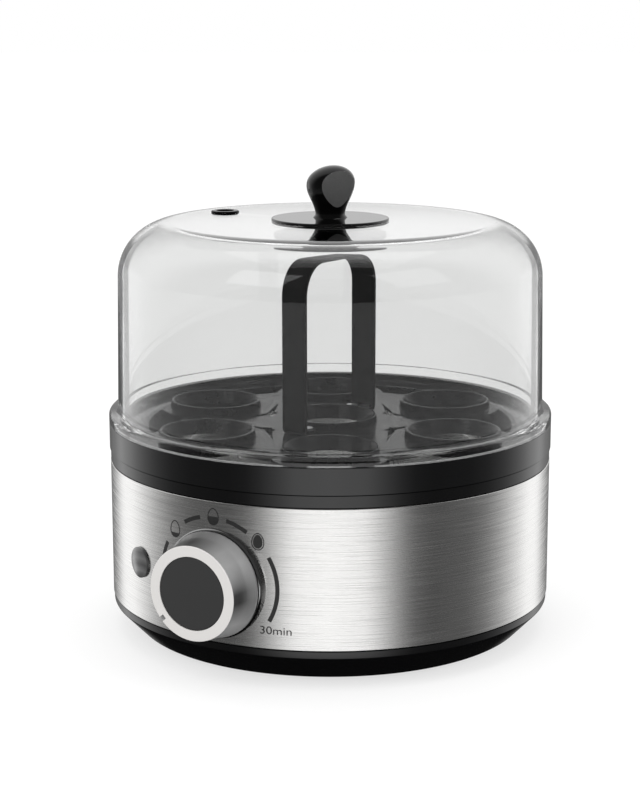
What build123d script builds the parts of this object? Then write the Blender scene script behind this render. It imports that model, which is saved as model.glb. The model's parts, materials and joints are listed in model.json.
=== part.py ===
from build123d import *
import os
from math import asin, atan2, cos, hypot, radians, sin, sqrt

# Egg cooker for seven eggs. Millimetres, +Z up, the front faces -Y.
# The origin is on the cooker's axis, in the plane that the feet stand on.

# ---- Driving dimensions ----
foot_reach = 1.6            # how far the feet stand out below the bottom cover
cover_radius = 82.8         # the bottom cover's upright edge
cover_floor_radius = 73.35  # where the undercut meets the floor
cover_edge = 11.4           # height at which the undercut starts
band_bottom, band_top = 14.5, 65.4
band_radius, band_wall = 83.1, 0.6
wall = 2.0                  # moulded wall thickness
tray_seat = 69.9            # the tray's skirt stands here
lid_seat = 79.8             # the lid's flange rests here
flange_top = 83.6
flange_radius = 83.4
deck_top, deck_thickness = 77.0, 2.0
dome_low_radius, dome_draft = 80.05, 0.018
dome_wall = 2.0
dome_top = 154.3
dome_corner = 20.0
disc_radius, disc_thickness = 21.9, 1.0
knob_top = 174.6
egg_ring_radius = 52.0
seat_outer, seat_inner, seat_top = 17.5, 15.5, 80.2
handle_top, handle_half_span = 142.3, 26.0
handle_width, handle_thickness = 10.0, 1.5
dial_azimuth, dial_height = 29.2, 36.0
dial_face, dial_radius, dial_back_radius = 97.5, 16.9, 19.0
lamp_azimuth, lamp_height = 55.4, 36.1
vent_x, vent_y = -40.4, 25.7
plate_top = 68.2
dish_floor, dish_radius = 61.0, 49.5

clear = 0.2                 # room between pieces that only sit beside each other
running = 0.05              # radial room of the timer shaft in its bearing

housing_outer = band_radius - band_wall - clear
housing_inner = housing_outer - wall
collar_inner = dome_low_radius + 0.45


def turned(points, rounds=()):
    """Solid of revolution about Z. points are (radius, height), rounds are ((radius, height), fillet)."""
    outline = make_face(Polyline(*points, close=True))
    for corner, radius in rounds:
        vertex = outline.vertices().sort_by_distance((*corner, 0))[0]
        outline = fillet(vertex, radius)
    return revolve(Plane.XZ * outline, Axis.Z)


def tube(outer, inner, low, high):
    """Upright ring, or a disc where inner is 0."""
    body = Pos(0, 0, low) * extrude(Circle(outer), high - low)
    if inner:
        body -= Pos(0, 0, low - 1) * extrude(Circle(inner), high - low + 2)
    return body


def facing(azimuth, height):
    """Plane whose Z points outward at azimuth degrees to the viewer's left of the front, X to the right, Y up."""
    turn = radians(azimuth)
    return Plane(origin=(0, 0, height), x_dir=(cos(turn), -sin(turn), 0), z_dir=(-sin(turn), -cos(turn), 0))


def around(radius, azimuth):
    """Point on a circle about Z, azimuth counted to the viewer's left of the front."""
    turn = radians(azimuth)
    return -radius * sin(turn), -radius * cos(turn)


def group(pieces):
    return Compound(children=list(pieces))


def save(name, solid):
    solid.label = name
    export_step(solid, f"parts/{name}.step")


os.makedirs("parts", exist_ok=True)
dial = facing(dial_azimuth, dial_height)
lamp = facing(lamp_azimuth, lamp_height)

# ---- Bottom cover, feet and their screws ----
cover_low = foot_reach
spigot_outer = housing_inner - clear
spigot_top = band_bottom + 4.0
foot_radius, foot_ring = 6.0, 63.0
foot_angles = [14 + 90 * i for i in range(4)]
post_ring, post_radius, post_low = 67.0, 4.2, 8.0
post_angles = [foot + 50 for foot in foot_angles]
screw_shank = 1.5

bottom_cover = turned(
    [
        (0, cover_low),
        (cover_floor_radius, cover_low),
        (cover_radius, cover_edge),
        (cover_radius, band_bottom),
        (spigot_outer, band_bottom),
        (spigot_outer, spigot_top),
        (spigot_outer - wall, spigot_top),
        (spigot_outer - wall, band_bottom - 1.5),
        (cover_floor_radius - 1.0, cover_low + wall),
        (0, cover_low + wall),
    ],
    [((cover_floor_radius, cover_low), 2.5), ((cover_radius, cover_edge), 1.2)],
)
for angle in foot_angles:
    x, y = around(foot_ring, angle)
    bottom_cover -= Pos(x, y, cover_low - 1) * extrude(Circle(foot_radius + 0.05), 1.8)
for angle in post_angles:
    x, y = around(post_ring, angle)
    bottom_cover += Pos(x, y, cover_low) * extrude(Circle(post_radius), post_low - cover_low)
    bottom_cover -= Pos(x, y, cover_low - 1) * extrude(Circle(3.3), 3.6)
    bottom_cover -= Pos(x, y, cover_low) * extrude(Circle(screw_shank + 0.2), post_low)
vent_slot = extrude(SlotOverall(20, 2.4), 10)
for x in range(-24, 25, 8):
    bottom_cover -= Pos(x, 0, -2) * Rot(0, 0, 90) * vent_slot

# each foot fills its pocket and stands out below the cover
foot = turned(
    [(0, 0), (foot_radius - 1.0, 0), (foot_radius, cover_low), (foot_radius, cover_low + 0.8), (0, cover_low + 0.8)],
    [((foot_radius - 1.0, 0), 0.6)],
)
rubber_feet = group(Pos(*around(foot_ring, angle), 0) * foot for angle in foot_angles)

cover_screw = tube(2.9, 0, cover_low + 0.8, cover_low + 2.6) + tube(screw_shank, 0, cover_low + 2.6, 20)
cover_screw -= Pos(0, 0, cover_low + 0.8) * (Box(3.4, 0.7, 1.6) + Box(0.7, 3.4, 1.6))
cover_screws = group(Pos(*around(post_ring, angle), 0) * cover_screw for angle in post_angles)

# ---- Steel band ----
gland_height = 32.0
gland_bore, gland_hole = 3.5, 6.0
gland = facing(180, gland_height)
shaft_radius = 3.0
lens_radius, lens_shank = 5.65, 4.8

steel_band = tube(band_radius, band_radius - band_wall, band_bottom, band_top)
steel_band -= dial * Pos(0, 0, 70) * extrude(Circle(shaft_radius + 1.5), 20)
steel_band -= lamp * Pos(0, 0, 70) * extrude(Circle(lens_shank + 0.1), 20)
steel_band -= gland * Pos(0, 0, 70) * extrude(Circle(gland_hole + 0.1), 20)

# ---- Top ring: flange, rim that centres the tray, ledge under the dish, screw posts ----
rim_outer, rim_top = 80.6, 72.9
rim_inner = rim_outer - wall
gasket_outer, ledge_inner, ledge_top = 62.0, 57.0, 66.2
lip_outer, lip_wall, lip_depth = housing_inner - clear, 1.6, 2.5

top_ring = turned(
    [
        (band_radius - 0.1, band_top),
        (band_radius - 0.1, tray_seat),
        (rim_outer, tray_seat),
        (rim_outer, rim_top),
        (rim_inner, rim_top),
        (rim_inner, plate_top - 0.2),
        (gasket_outer, plate_top - 0.2),
        (gasket_outer, ledge_top),
        (ledge_inner, ledge_top),
        (ledge_inner, ledge_top - wall),
        (gasket_outer + wall, ledge_top - wall),
        (gasket_outer + wall, band_top),
        (lip_outer - lip_wall, band_top),
        (lip_outer - lip_wall, band_top - lip_depth),
        (lip_outer, band_top - lip_depth),
        (lip_outer, band_top),
    ],
    [((rim_outer, rim_top), 0.6), ((rim_inner, rim_top), 0.6), ((band_radius - 0.1, tray_seat), 0.3)],
)
for angle in post_angles:
    x, y = around(post_ring, angle)
    top_ring += Pos(x, y, post_low) * extrude(Circle(post_radius), band_top + 0.5 - post_low)
    top_ring -= Pos(x, y, post_low - 1) * extrude(Circle(screw_shank + 0.05), 24)

# ---- Housing wall behind the band, with pads for the timer, the lamp and the gland ----
timer_front, timer_pad_offset = 76.5, 13.0

base_housing = tube(housing_outer, housing_inner, band_bottom, band_top)
for side in (-timer_pad_offset, timer_pad_offset):
    pad = Pos(side, 0, timer_front) * extrude(Circle(4.0), 3.8)
    hole = Pos(side, 0, 60) * extrude(Circle(screw_shank + 0.05), 30)
    counterbore = Pos(side, 0, 79.6) * extrude(Circle(2.8), 5)
    base_housing += dial * pad
    base_housing -= dial * (hole + counterbore)
base_housing -= dial * Pos(0, 0, 60) * extrude(Circle(shaft_radius + 1.5), 30)
lens_pad = 77.6
base_housing += lamp * Pos(0, 0, lens_pad) * extrude(Circle(8.0), 3.4)
base_housing -= lamp * Pos(0, 0, 60) * extrude(Circle(lens_shank + 0.1), 30)
gland_pad = 78.0
base_housing += gland * Pos(0, 0, gland_pad) * extrude(Circle(9.5), 3.0)
base_housing -= gland * Pos(0, 0, 60) * extrude(Circle(gland_hole + 0.1), 30)

# ---- Water dish, its gasket, studs and nuts ----
plate_thickness = 1.0
rim_low = plate_top - plate_thickness
gasket_inner, plate_rim = 57.5, 61.5
dish_slope = 5.0
heating_plate = turned(
    [
        (0, dish_floor),
        (dish_radius, dish_floor),
        (dish_radius + dish_slope, plate_top),
        (plate_rim, plate_top),
        (plate_rim, rim_low),
        (dish_radius + dish_slope + 0.7, rim_low),
        (dish_radius + 0.7, dish_floor - plate_thickness),
        (0, dish_floor - plate_thickness),
    ],
    [((dish_radius, dish_floor), 3.0), ((dish_radius + 0.7, dish_floor - plate_thickness), 3.6)],
)
stud_radius, nut_radius, nut_height = 1.5, 3.0, 2.2
stud_ring = 59.5
stud_angles = [foot + 20 for foot in foot_angles]
plate_gasket = tube(plate_rim, gasket_inner, ledge_top, rim_low)
for angle in stud_angles:
    x, y = around(stud_ring, angle)
    stud_hole = Pos(x, y, 50) * extrude(Circle(stud_radius + 0.1), 17.2)
    plate_gasket -= stud_hole
    top_ring -= stud_hole

bracket_top, bracket_thickness, bracket_span = 54.6, 1.0, 16.0
plate_low = dish_floor - plate_thickness
long_stud = tube(stud_radius, 0, 61.0, rim_low)
short_stud = tube(stud_radius, 0, 50.8, plate_low)
plate_studs = group(
    [Pos(*around(stud_ring, angle), 0) * long_stud for angle in stud_angles]
    + [Pos(side, 0, 0) * short_stud for side in (-bracket_span, bracket_span)]
)


def nut(high):
    body = Pos(0, 0, high - nut_height) * extrude(RegularPolygon(nut_radius, 6), nut_height)
    return body - Pos(0, 0, high - 5) * extrude(Circle(stud_radius + 0.03), 10)


plate_nuts = group(
    [Pos(*around(stud_ring, angle), 0) * nut(ledge_top - wall) for angle in stud_angles]
    + [Pos(side, 0, 0) * nut(bracket_top - bracket_thickness) for side in (-bracket_span, bracket_span)]
)

# ---- Heating element: an open ring under the dish, its ends bent down ----
element_ring, element_radius, element_gap = 38.0, 3.3, 50.0
element_height = plate_low - element_radius - 0.1
element_low = 44.0
element = revolve(Plane.XZ * Pos(element_ring, element_height) * Circle(element_radius), Axis.Z, 360 - element_gap)
element = Rot(0, 0, 90 + element_gap / 2) * element
for side in (-1, 1):
    x, y = around(element_ring, 180 + side * element_gap / 2)
    element += Pos(x, y, element_height) * Sphere(element_radius)
    element += Pos(x, y, element_low) * extrude(Circle(element_radius), element_height - element_low)
    element += Pos(x, y, element_low - 7) * extrude(Circle(1.2), 8)
heating_element = element

# ---- Thermostat on its spring strap, and the thermal fuse ----
thermostat = tube(8.0, 0, bracket_top, plate_low - 0.1) + tube(6.2, 0, 48.5, bracket_top)
for side in (-4.0, 4.0):
    thermostat += Pos(side, 0, 45) * Box(0.8, 4.8, 8)
strap = extrude(SlotOverall(2 * bracket_span + 12, 9), bracket_thickness)
strap -= Pos(0, 0, -1) * extrude(Circle(6.3), 3)
strap += tube(9.0, 6.3, 0, bracket_thickness)
for side in (-bracket_span, bracket_span):
    strap -= Pos(side, 0, -1) * extrude(Circle(stud_radius + 0.1), 3)
thermostat_bracket = Pos(0, 0, bracket_top - bracket_thickness) * strap
fuse_x = 24.0
thermal_fuse = Pos(fuse_x, 0, plate_low - 2.6) * Rot(90, 0, 0) * (Cylinder(2.4, 18) + Cylinder(0.6, 30))

# ---- Clockwork timer with its bell, behind the wall ----
timer_width, timer_tall, timer_deep = 34.0, 32.0, 20.0
timer_back = timer_front - timer_deep
timer_case = Pos(0, 0, (timer_front + timer_back) / 2) * Box(timer_width, timer_tall, timer_deep)
timer_case = fillet(timer_case.edges().filter_by(Axis.Z), 3.0)
for side in (-timer_pad_offset, timer_pad_offset):
    timer_case -= Pos(side, 0, timer_front - 7.5) * extrude(Circle(screw_shank + 0.05), 10)
timer_case -= Pos(0, 0, timer_back + 4.0) * extrude(Circle(shaft_radius + running), 30)
for height in (-8.0, 8.0):
    timer_case += Pos(timer_width / 2 + 3.5, height, timer_back + 6) * Box(8.0, 0.8, 6.3)
timer_body = dial * timer_case

bell_radius, bell_deep = 14.0, 7.0
bell_profile = [
    (1.6, timer_back - 2.0),
    (1.6, timer_back - 0.0),
    (4.0, timer_back - 0.0),
    (4.0, timer_back - bell_deep + 1.0),
    (bell_radius - 1.0, timer_back - bell_deep + 1.0),
    (bell_radius - 1.0, timer_back - 1.5),
    (bell_radius, timer_back - 1.5),
    (bell_radius, timer_back - bell_deep),
    (1.6, timer_back - bell_deep),
]
timer_bell = dial * turned(bell_profile, [((bell_radius, timer_back - bell_deep), 2.5)])

timer_screw = tube(2.5, 0, 79.6, 81.0) + tube(screw_shank, 0, timer_front - 7, 79.6)
timer_screw -= Pos(0, 0, 81.0) * (Box(3.2, 0.7, 1.6) + Box(0.7, 3.2, 1.6))
timer_screws = group(dial * Pos(side, 0, 0) * timer_screw for side in (-timer_pad_offset, timer_pad_offset))

# ---- Dial: shaft, hub, metal shell with its pointer notch, and the dark cap ----
shell_back, shell_wall, face_thickness = 84.7, 1.0, 1.2
cap_radius, cap_recess = 13.0, 0.25
notch_azimuth = 218.6       # the pointer's angle on the dial at rest, counter-clockwise from the viewer's right
shell_profile = [
    (dial_back_radius, shell_back),
    (dial_back_radius, shell_back + 0.8),
    (dial_radius + 0.9, shell_back + 5.0),
    (dial_radius, dial_face),
    (cap_radius + 0.1, dial_face),
    (cap_radius + 0.1, dial_face - face_thickness),
    (dial_radius - shell_wall - 0.2, dial_face - face_thickness),
    (dial_radius - shell_wall - 0.2, shell_back),
]
dial_solid = turned(
    shell_profile,
    [((dial_radius, dial_face), 0.5), ((dial_radius + 0.9, shell_back + 5.0), 8.0)],
)
notch = Pos(dial_radius, 0, dial_face) * Box(3.0, 1.5, 1.4)
dial_solid -= Rot(0, 0, notch_azimuth) * notch
dial_shell = dial * dial_solid

hub_front, hub_radius, socket_front = 95.0, 15.5, 93.0
shaft_flat = 2.4            # height of the shaft's flat above its axis


def shaft_section(extra):
    """Round shaft with one flat."""
    return Circle(shaft_radius + extra) - Pos(0, shaft_flat + extra + 5) * Rectangle(12, 10)


hub = tube(hub_radius, 0, shell_back + 0.6, hub_front)
hub -= Pos(0, 0, shell_back) * extrude(shaft_section(0.02), socket_front + 0.2 - shell_back)
dial_core = dial * hub
dial_cap = dial * turned(
    [
        (0, hub_front),
        (cap_radius, hub_front),
        (cap_radius, dial_face - cap_recess),
        (0, dial_face - cap_recess),
    ],
    [((cap_radius, dial_face - cap_recess), 0.3)],
)
shaft = Pos(0, 0, timer_back + 5.0) * extrude(Circle(shaft_radius), shell_back - timer_back - 5.0)
shaft += Pos(0, 0, shell_back) * extrude(shaft_section(0), socket_front - shell_back)
timer_shaft = dial * shaft

bezel_outer, bezel_inner, bezel_front = 19.7, 16.4, 84.2
bezel = tube(bezel_outer, bezel_inner, 78.0, bezel_front)
bezel = fillet(bezel.edges().filter_by(GeomType.CIRCLE).sort_by(Axis.Z)[-1], 0.5)
dial_bezel = dial * bezel - tube(band_radius + 0.03, 0, 0, 80)

# ---- Indicator lamp behind its lens ----
lens_front, lens_bulge = 84.9, 1.1
lens_sphere = (lens_radius**2 + lens_bulge**2) / (2 * lens_bulge)
lens = tube(lens_radius, 0, 80.0, lens_front) & Pos(0, 0, lens_front - lens_sphere) * Sphere(lens_sphere)
lens_head = lamp * lens - tube(band_radius + 0.03, 0, 0, 80)
lens_stem = tube(lens_shank, 3.4, 74.5, 83.3) + tube(lens_shank, 0, 82.0, 83.3)
indicator_lens = lens_head + lamp * lens_stem
bulb = tube(2.7, 0, 68.0, 78.0) + Pos(0, 0, 78.0) * Sphere(2.7) + tube(0.5, 0, 60.0, 68.0)
indicator_lamp = lamp * bulb
lens_retainer = lamp * tube(7.4, lens_shank + 0.05, lens_pad - 1.6, lens_pad)

# ---- Cord's way in: gland, nut, terminals ----
# The gland reaches as far behind the axis as the dial's rim reaches in front of it.
gland_reach = dial_face * cos(radians(dial_azimuth)) + dial_radius * sin(radians(dial_azimuth))
gland_low = 71.0
gland_body = turned(
    [
        (gland_bore, gland_low),
        (gland_bore, gland_reach),
        (gland_bore + 1.5, gland_reach),
        (gland_bore + 2.6, band_radius + 2.4),
        (8.4, band_radius + 2.4),
        (8.4, 80.0),
        (gland_hole, 80.0),
        (gland_hole, gland_low),
    ],
    [((8.4, band_radius + 2.4), 0.8), ((gland_bore + 1.5, gland_reach), 0.5)],
)
gland_trim = tube(band_radius + 0.03, band_radius - 5, 0, 80) - gland * Pos(0, 0, 60) * extrude(Circle(gland_hole), 40)
cord_gland = gland * gland_body - gland_trim
nut_front = gland_pad
gland_nut_body = Pos(0, 0, nut_front - 4) * extrude(RegularPolygon(9.5, 6), 4)
gland_nut_body -= Pos(0, 0, nut_front - 5) * extrude(Circle(gland_hole + 0.03), 6)
gland_nut = gland * gland_nut_body

block_x, block_y, block_low = 30.0, 44.0, cover_low + wall
terminal_block = Pos(block_x, block_y, block_low + 6.5) * Box(30, 14, 13)
for side in (-9.0, 0.0, 9.0):
    wire_way = Pos(block_x + side, block_y, block_low + 5) * Rot(90, 0, 0) * Cylinder(2.0, 30)
    screw_way = Pos(block_x + side, block_y, block_low + 7) * extrude(Circle(2.2), 10)
    terminal_block -= wire_way + screw_way

# ---- Internal wires: straight runs joined by tangent arcs ----
wire_radius = 1.0
tab_reach = timer_width / 2 + 8.0


def in_dial(x, y, z):
    """Point given in the dial's plane, as a point in the cooker's frame."""
    return tuple(dial.from_local_coords(Vector(x, y, z)))


def wire(points, bend):
    """Round wire along the points, its corners rounded to the radius bend."""
    path = FilletPolyline(*points, radius=bend)
    start = Plane(path @ 0, z_dir=path % 0)
    return sweep(start * Circle(wire_radius), path)


tab_low = in_dial(tab_reach, -8.0, timer_back + 6)
tab_high = in_dial(tab_reach, 8.0, timer_back + 6)
leg_right = around(element_ring, 180 - element_gap / 2)
leg_left = around(element_ring, 180 + element_gap / 2)
wire_level = block_low + 5
leg_end = element_low - 8.2
supply_wire = wire(
    [
        (tab_low[0] + 1.0, tab_low[1] - 0.6, tab_low[2]),
        (tab_low[0] + 14, tab_low[1] - 1, tab_low[2] - 8),
        (block_x - 9, 0, wire_level),
        (block_x - 9, block_y - 8.0, wire_level),
    ],
    9,
)
load_wire = wire(
    [
        (tab_high[0] + 1.0, tab_high[1] - 0.6, tab_high[2]),
        (tab_high[0] + 16, tab_high[1] + 8, tab_high[2] - 4),
        (4.0, -30, 34),
        (4.0, 0, 32),
        (4.0, 0, 39.8),
    ],
    3,
)
fuse_wire = wire(
    [(-4.0, 0, 39.8), (-4.0, 0, 30), (-4.0, 26, 28), (leg_left[0], leg_left[1], 26), (leg_left[0], leg_left[1], leg_end)],
    4,
)
return_wire = wire(
    [
        (leg_right[0], leg_right[1], leg_end),
        (leg_right[0], leg_right[1], 24),
        (block_x, 30, 18),
        (block_x, 30, wire_level),
        (block_x, block_y - 8.0, wire_level),
    ],
    4,
)
lamp_start = tuple(lamp.from_local_coords(Vector(0, 0, 59)))
lamp_wire = wire(
    [
        lamp_start,
        (lamp_start[0] * 0.8, lamp_start[1] * 0.8, 34),
        (-22, 10, 22),
        (block_x + 9, 16, wire_level),
        (block_x + 9, block_y - 8.0, wire_level),
    ],
    5,
)
internal_wiring = group([supply_wire, load_wire, fuse_wire, return_wire, lamp_wire])

# ---- Egg tray: rim with its skirt, deck, seven seats, slots ----
seat_places = [(0.0, 0.0)] + [around(egg_ring_radius, 60 * i) for i in range(6)]
deck_low_side = deck_top - deck_thickness
skirt_inner = rim_outer + 0.4
deck_radius = 71.0
tray_rim = turned(
    [
        (deck_radius, deck_low_side),
        (skirt_inner, deck_low_side),
        (skirt_inner, tray_seat),
        (flange_radius, tray_seat),
        (flange_radius, lid_seat),
        (collar_inner, lid_seat),
        (collar_inner, deck_top),
        (deck_radius, deck_top),
    ],
    [((flange_radius, lid_seat), 0.35), ((flange_radius, tray_seat), 0.35)],
)
seat_base = seat_outer + 0.6
seat = turned(
    [
        (seat_inner - 1.5, deck_low_side),
        (seat_base, deck_low_side),
        (seat_base, deck_top),
        (seat_outer + 0.35, deck_top),
        (seat_outer, seat_top),
        (seat_inner + 1.0, seat_top),
        (seat_inner - 0.6, seat_top - 3.4),
    ],
    [((seat_outer, seat_top), 0.4)],
)
egg_seats = group(Pos(x, y, 0) * seat for x, y in seat_places)
tray_deck = tube(deck_radius, 0, deck_low_side, deck_top)
for x, y in seat_places:
    tray_deck -= Pos(x, y, deck_low_side - 1) * extrude(Circle(seat_base), 8)

# Curved three-sided slots between the outer seats, out to one common circle.
slot_reach, slot_start, seat_margin = 69.0, 57.0, 4.0
slot_ring = Circle(slot_reach) - Circle(slot_start)
for x, y in seat_places:
    slot_ring -= Pos(x, y) * Circle(seat_outer + seat_margin)
slot_ring = slot_ring & (Circle(slot_reach) - Circle(slot_start))
outer_slots = extrude(Pos(0, 0, deck_low_side - 1) * slot_ring, 5)
tray_deck -= outer_slots

# Narrow wedge slots in pairs, a V on each side of the lines between the seats.
wedge = make_face(Polyline((-22.0, -10.3), (-25.3, -10.3), (-20.6, -32.3), close=True))
wedge_cut = Pos(0, 0, deck_low_side - 1) * extrude(wedge, 5)
for i in range(6):
    tray_deck -= Rot(0, 0, 60 * i) * wedge_cut
    tray_deck -= Rot(0, 0, 60 * i) * mirror(wedge_cut, Plane.XZ)

# ---- Tray handle: a flat strip bent into an arch, riveted to the deck ----
handle_azimuth = 30.0
half_outer = handle_half_span + handle_thickness / 2
half_inner = handle_half_span - handle_thickness / 2
foot_length = 7.0
bend_outer = 14.0
arch_points = [
    (-half_inner + foot_length, deck_top),
    (-half_outer, deck_top),
    (-half_outer, handle_top),
    (half_outer, handle_top),
    (half_outer, deck_top),
    (half_inner - foot_length, deck_top),
    (half_inner - foot_length, deck_top + handle_thickness),
    (half_inner, deck_top + handle_thickness),
    (half_inner, handle_top - handle_thickness),
    (-half_inner, handle_top - handle_thickness),
    (-half_inner, deck_top + handle_thickness),
    (-half_inner + foot_length, deck_top + handle_thickness),
]
arch = make_face(Polyline(*arch_points, close=True))
for corner, bend in (
    ((-half_outer, handle_top), bend_outer),
    ((half_outer, handle_top), bend_outer),
    ((-half_inner, handle_top - handle_thickness), bend_outer - handle_thickness),
    ((half_inner, handle_top - handle_thickness), bend_outer - handle_thickness),
    ((-half_outer, deck_top), 2.0),
    ((half_outer, deck_top), 2.0),
):
    arch = fillet(arch.vertices().sort_by_distance((*corner, 0))[0], bend)
handle = extrude(Plane.XZ * arch, handle_width / 2, both=True)
rivet_reach, rivet_side, rivet_radius = 21.6, 2.6, 1.1
rivet_places = [(end * rivet_reach, side * rivet_side) for end in (-1, 1) for side in (-1, 1)]
for x, y in rivet_places:
    rivet_hole = Pos(x, y, deck_low_side - 1) * extrude(Circle(rivet_radius + 0.02), 6)
    handle -= rivet_hole
    tray_deck -= Rot(0, 0, 90 - handle_azimuth) * rivet_hole
tray_handle = Rot(0, 0, 90 - handle_azimuth) * handle
rivet_low, rivet_high = deck_low_side - 0.8, deck_top + handle_thickness + 0.8
rivet = tube(rivet_radius, 0, rivet_low, rivet_high)
rivet += tube(2.1, 0, deck_top + handle_thickness, rivet_high) + tube(1.9, 0, rivet_low, deck_low_side)
handle_rivets = group(Rot(0, 0, 90 - handle_azimuth) * Pos(x, y, 0) * rivet for x, y in rivet_places)

# ---- Lid: clear dome with its flange ----
spigot_low = deck_top + 0.3


def dome_radius(height):
    """The dome's outer radius, drawn in slightly towards the top."""
    return dome_low_radius - dome_draft * (height - lid_seat)


dome_under = dome_top - dome_wall
lid_dome = turned(
    [
        (0, dome_under),
        (dome_radius(dome_under) - dome_wall, dome_under),
        (dome_radius(spigot_low) - dome_wall, spigot_low),
        (dome_radius(spigot_low), spigot_low),
        (dome_radius(lid_seat), lid_seat),
        (flange_radius, lid_seat),
        (flange_radius, flange_top),
        (dome_radius(flange_top), flange_top),
        (dome_radius(dome_top), dome_top),
        (0, dome_top),
    ],
    [
        ((dome_radius(dome_top), dome_top), dome_corner),
        ((dome_radius(dome_under) - dome_wall, dome_under), dome_corner - dome_wall),
        ((flange_radius, flange_top), 1.2),
        ((dome_radius(flange_top), flange_top), 1.0),
    ],
)
knob_screw_offset, knob_screw_radius = 3.9, 1.2
knob_turn = 28.0            # the knob's flats face this far to the right of the front
screw_places = [(-knob_screw_offset, 0), (knob_screw_offset, 0)]
screw_holes = [Pos(x, y, 130) * extrude(Circle(knob_screw_radius + 0.1), 36) for x, y in screw_places]
vent_outer, vent_bore, vent_sleeve = 5.4, 3.3, 4.4
lid_dome -= Pos(vent_x, vent_y, dome_under - 1) * extrude(Circle(vent_sleeve + 0.05), dome_wall + 2)
for hole in screw_holes:
    lid_dome -= hole

vent_grommet = turned(
    [
        (vent_bore, dome_under - 0.8),
        (vent_outer - 0.3, dome_under - 0.8),
        (vent_outer - 0.3, dome_under),
        (vent_sleeve, dome_under),
        (vent_sleeve, dome_top),
        (vent_outer, dome_top),
        (vent_outer, dome_top + 0.7),
        (vent_bore, dome_top + 0.7),
    ],
    [((vent_outer, dome_top + 0.7), 0.5), ((vent_bore, dome_top + 0.7), 0.5)],
)
vent_grommet = Pos(vent_x, vent_y, 0) * vent_grommet

# ---- Knob on its disc, screwed through the lid from a plate underneath ----
disc_top = dome_top + disc_thickness
lid_disc = turned(
    [(0, dome_top), (disc_radius, dome_top), (disc_radius, disc_top), (0, disc_top)],
    [((disc_radius, disc_top), 0.5)],
)
knob_radius, knob_neck, knob_flat = 8.95, 5.65, 6.4
ball_height = knob_top - knob_radius
neck_height = disc_top + 1.0
# the cone from the neck meets the ball where it is tangent to it
to_ball = hypot(knob_neck, ball_height - neck_height)
tangent = sqrt(to_ball**2 - knob_radius**2)
lean = atan2(ball_height - neck_height, -knob_neck) - asin(knob_radius / to_ball)
touch = (knob_neck + tangent * cos(lean), neck_height + tangent * sin(lean))
knob_foot = [(0, disc_top), (6.4, disc_top), (knob_neck, neck_height), touch, (0, ball_height)]
knob_outline = make_face(Polyline(*knob_foot, close=True))
knob_ball = Pos(0, ball_height) * Circle(knob_radius) & Pos(15, ball_height) * Rectangle(30, 40)
knob = revolve(Plane.XZ * (knob_outline + knob_ball), Axis.Z)
for side in (-1, 1):
    knob -= Pos(0, side * (knob_flat + 10), ball_height) * Box(40, 20, 40)
lid_knob = Rot(0, 0, knob_turn) * knob
screw_tip = disc_top + 9.0
for x, y in screw_places:
    lid_knob -= Pos(x, y, disc_top - 1) * extrude(Circle(knob_screw_radius + 0.02), 10.3)
for hole in screw_holes:
    lid_disc -= hole

plate_under, base_plate_top = 146.6, 148.2
seal_low = dome_under - 1.0
knob_base_plate = turned(
    [
        (0, plate_under),
        (disc_radius - 0.9, plate_under),
        (disc_radius - 0.9, base_plate_top),
        (10.0, base_plate_top),
        (10.0, seal_low),
        (0, seal_low),
    ],
    [((disc_radius - 0.9, plate_under), 0.5), ((10.0, base_plate_top), 1.5)],
)
knob_seal = tube(11.0, 0, seal_low, dome_under)
for hole in screw_holes:
    knob_base_plate -= hole
    knob_seal -= hole
knob_screw = turned(
    [
        (0, plate_under - 1.7),
        (2.9, plate_under - 1.7),
        (2.9, plate_under),
        (knob_screw_radius, plate_under),
        (knob_screw_radius, screw_tip),
        (0, screw_tip),
    ],
    [((2.9, plate_under - 1.7), 0.9)],
)
knob_screw -= Pos(0, 0, plate_under - 1.7) * (Box(3.2, 0.7, 1.6) + Box(0.7, 3.2, 1.6))
knob_screws = group(Pos(x, y, 0) * knob_screw for x, y in screw_places)

# ---- One file for each piece ----
pieces = {
    "bottom_cover": bottom_cover,
    "rubber_feet": rubber_feet,
    "cover_screws": cover_screws,
    "steel_band": steel_band,
    "base_housing": base_housing,
    "top_ring": top_ring,
    "heating_plate": heating_plate,
    "plate_gasket": plate_gasket,
    "plate_studs": plate_studs,
    "plate_nuts": plate_nuts,
    "heating_element": heating_element,
    "thermostat": thermostat,
    "thermostat_bracket": thermostat_bracket,
    "thermal_fuse": thermal_fuse,
    "timer_body": timer_body,
    "timer_bell": timer_bell,
    "timer_screws": timer_screws,
    "timer_shaft": timer_shaft,
    "dial_core": dial_core,
    "dial_shell": dial_shell,
    "dial_cap": dial_cap,
    "dial_bezel": dial_bezel,
    "indicator_lens": indicator_lens,
    "indicator_lamp": indicator_lamp,
    "lens_retainer": lens_retainer,
    "cord_gland": cord_gland,
    "gland_nut": gland_nut,
    "terminal_block": terminal_block,
    "internal_wiring": internal_wiring,
    "tray_rim": tray_rim,
    "tray_deck": tray_deck,
    "egg_seats": egg_seats,
    "tray_handle": tray_handle,
    "handle_rivets": handle_rivets,
    "lid_dome": lid_dome,
    "vent_grommet": vent_grommet,
    "lid_disc": lid_disc,
    "lid_knob": lid_knob,
    "knob_base_plate": knob_base_plate,
    "knob_seal": knob_seal,
    "knob_screws": knob_screws,
}
for name, solid in pieces.items():
    save(name, solid)
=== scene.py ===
import bpy
import bmesh
import json
from math import atan2, cos, pi, radians, sin, sqrt, tan
from mathutils import Matrix, Vector


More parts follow.
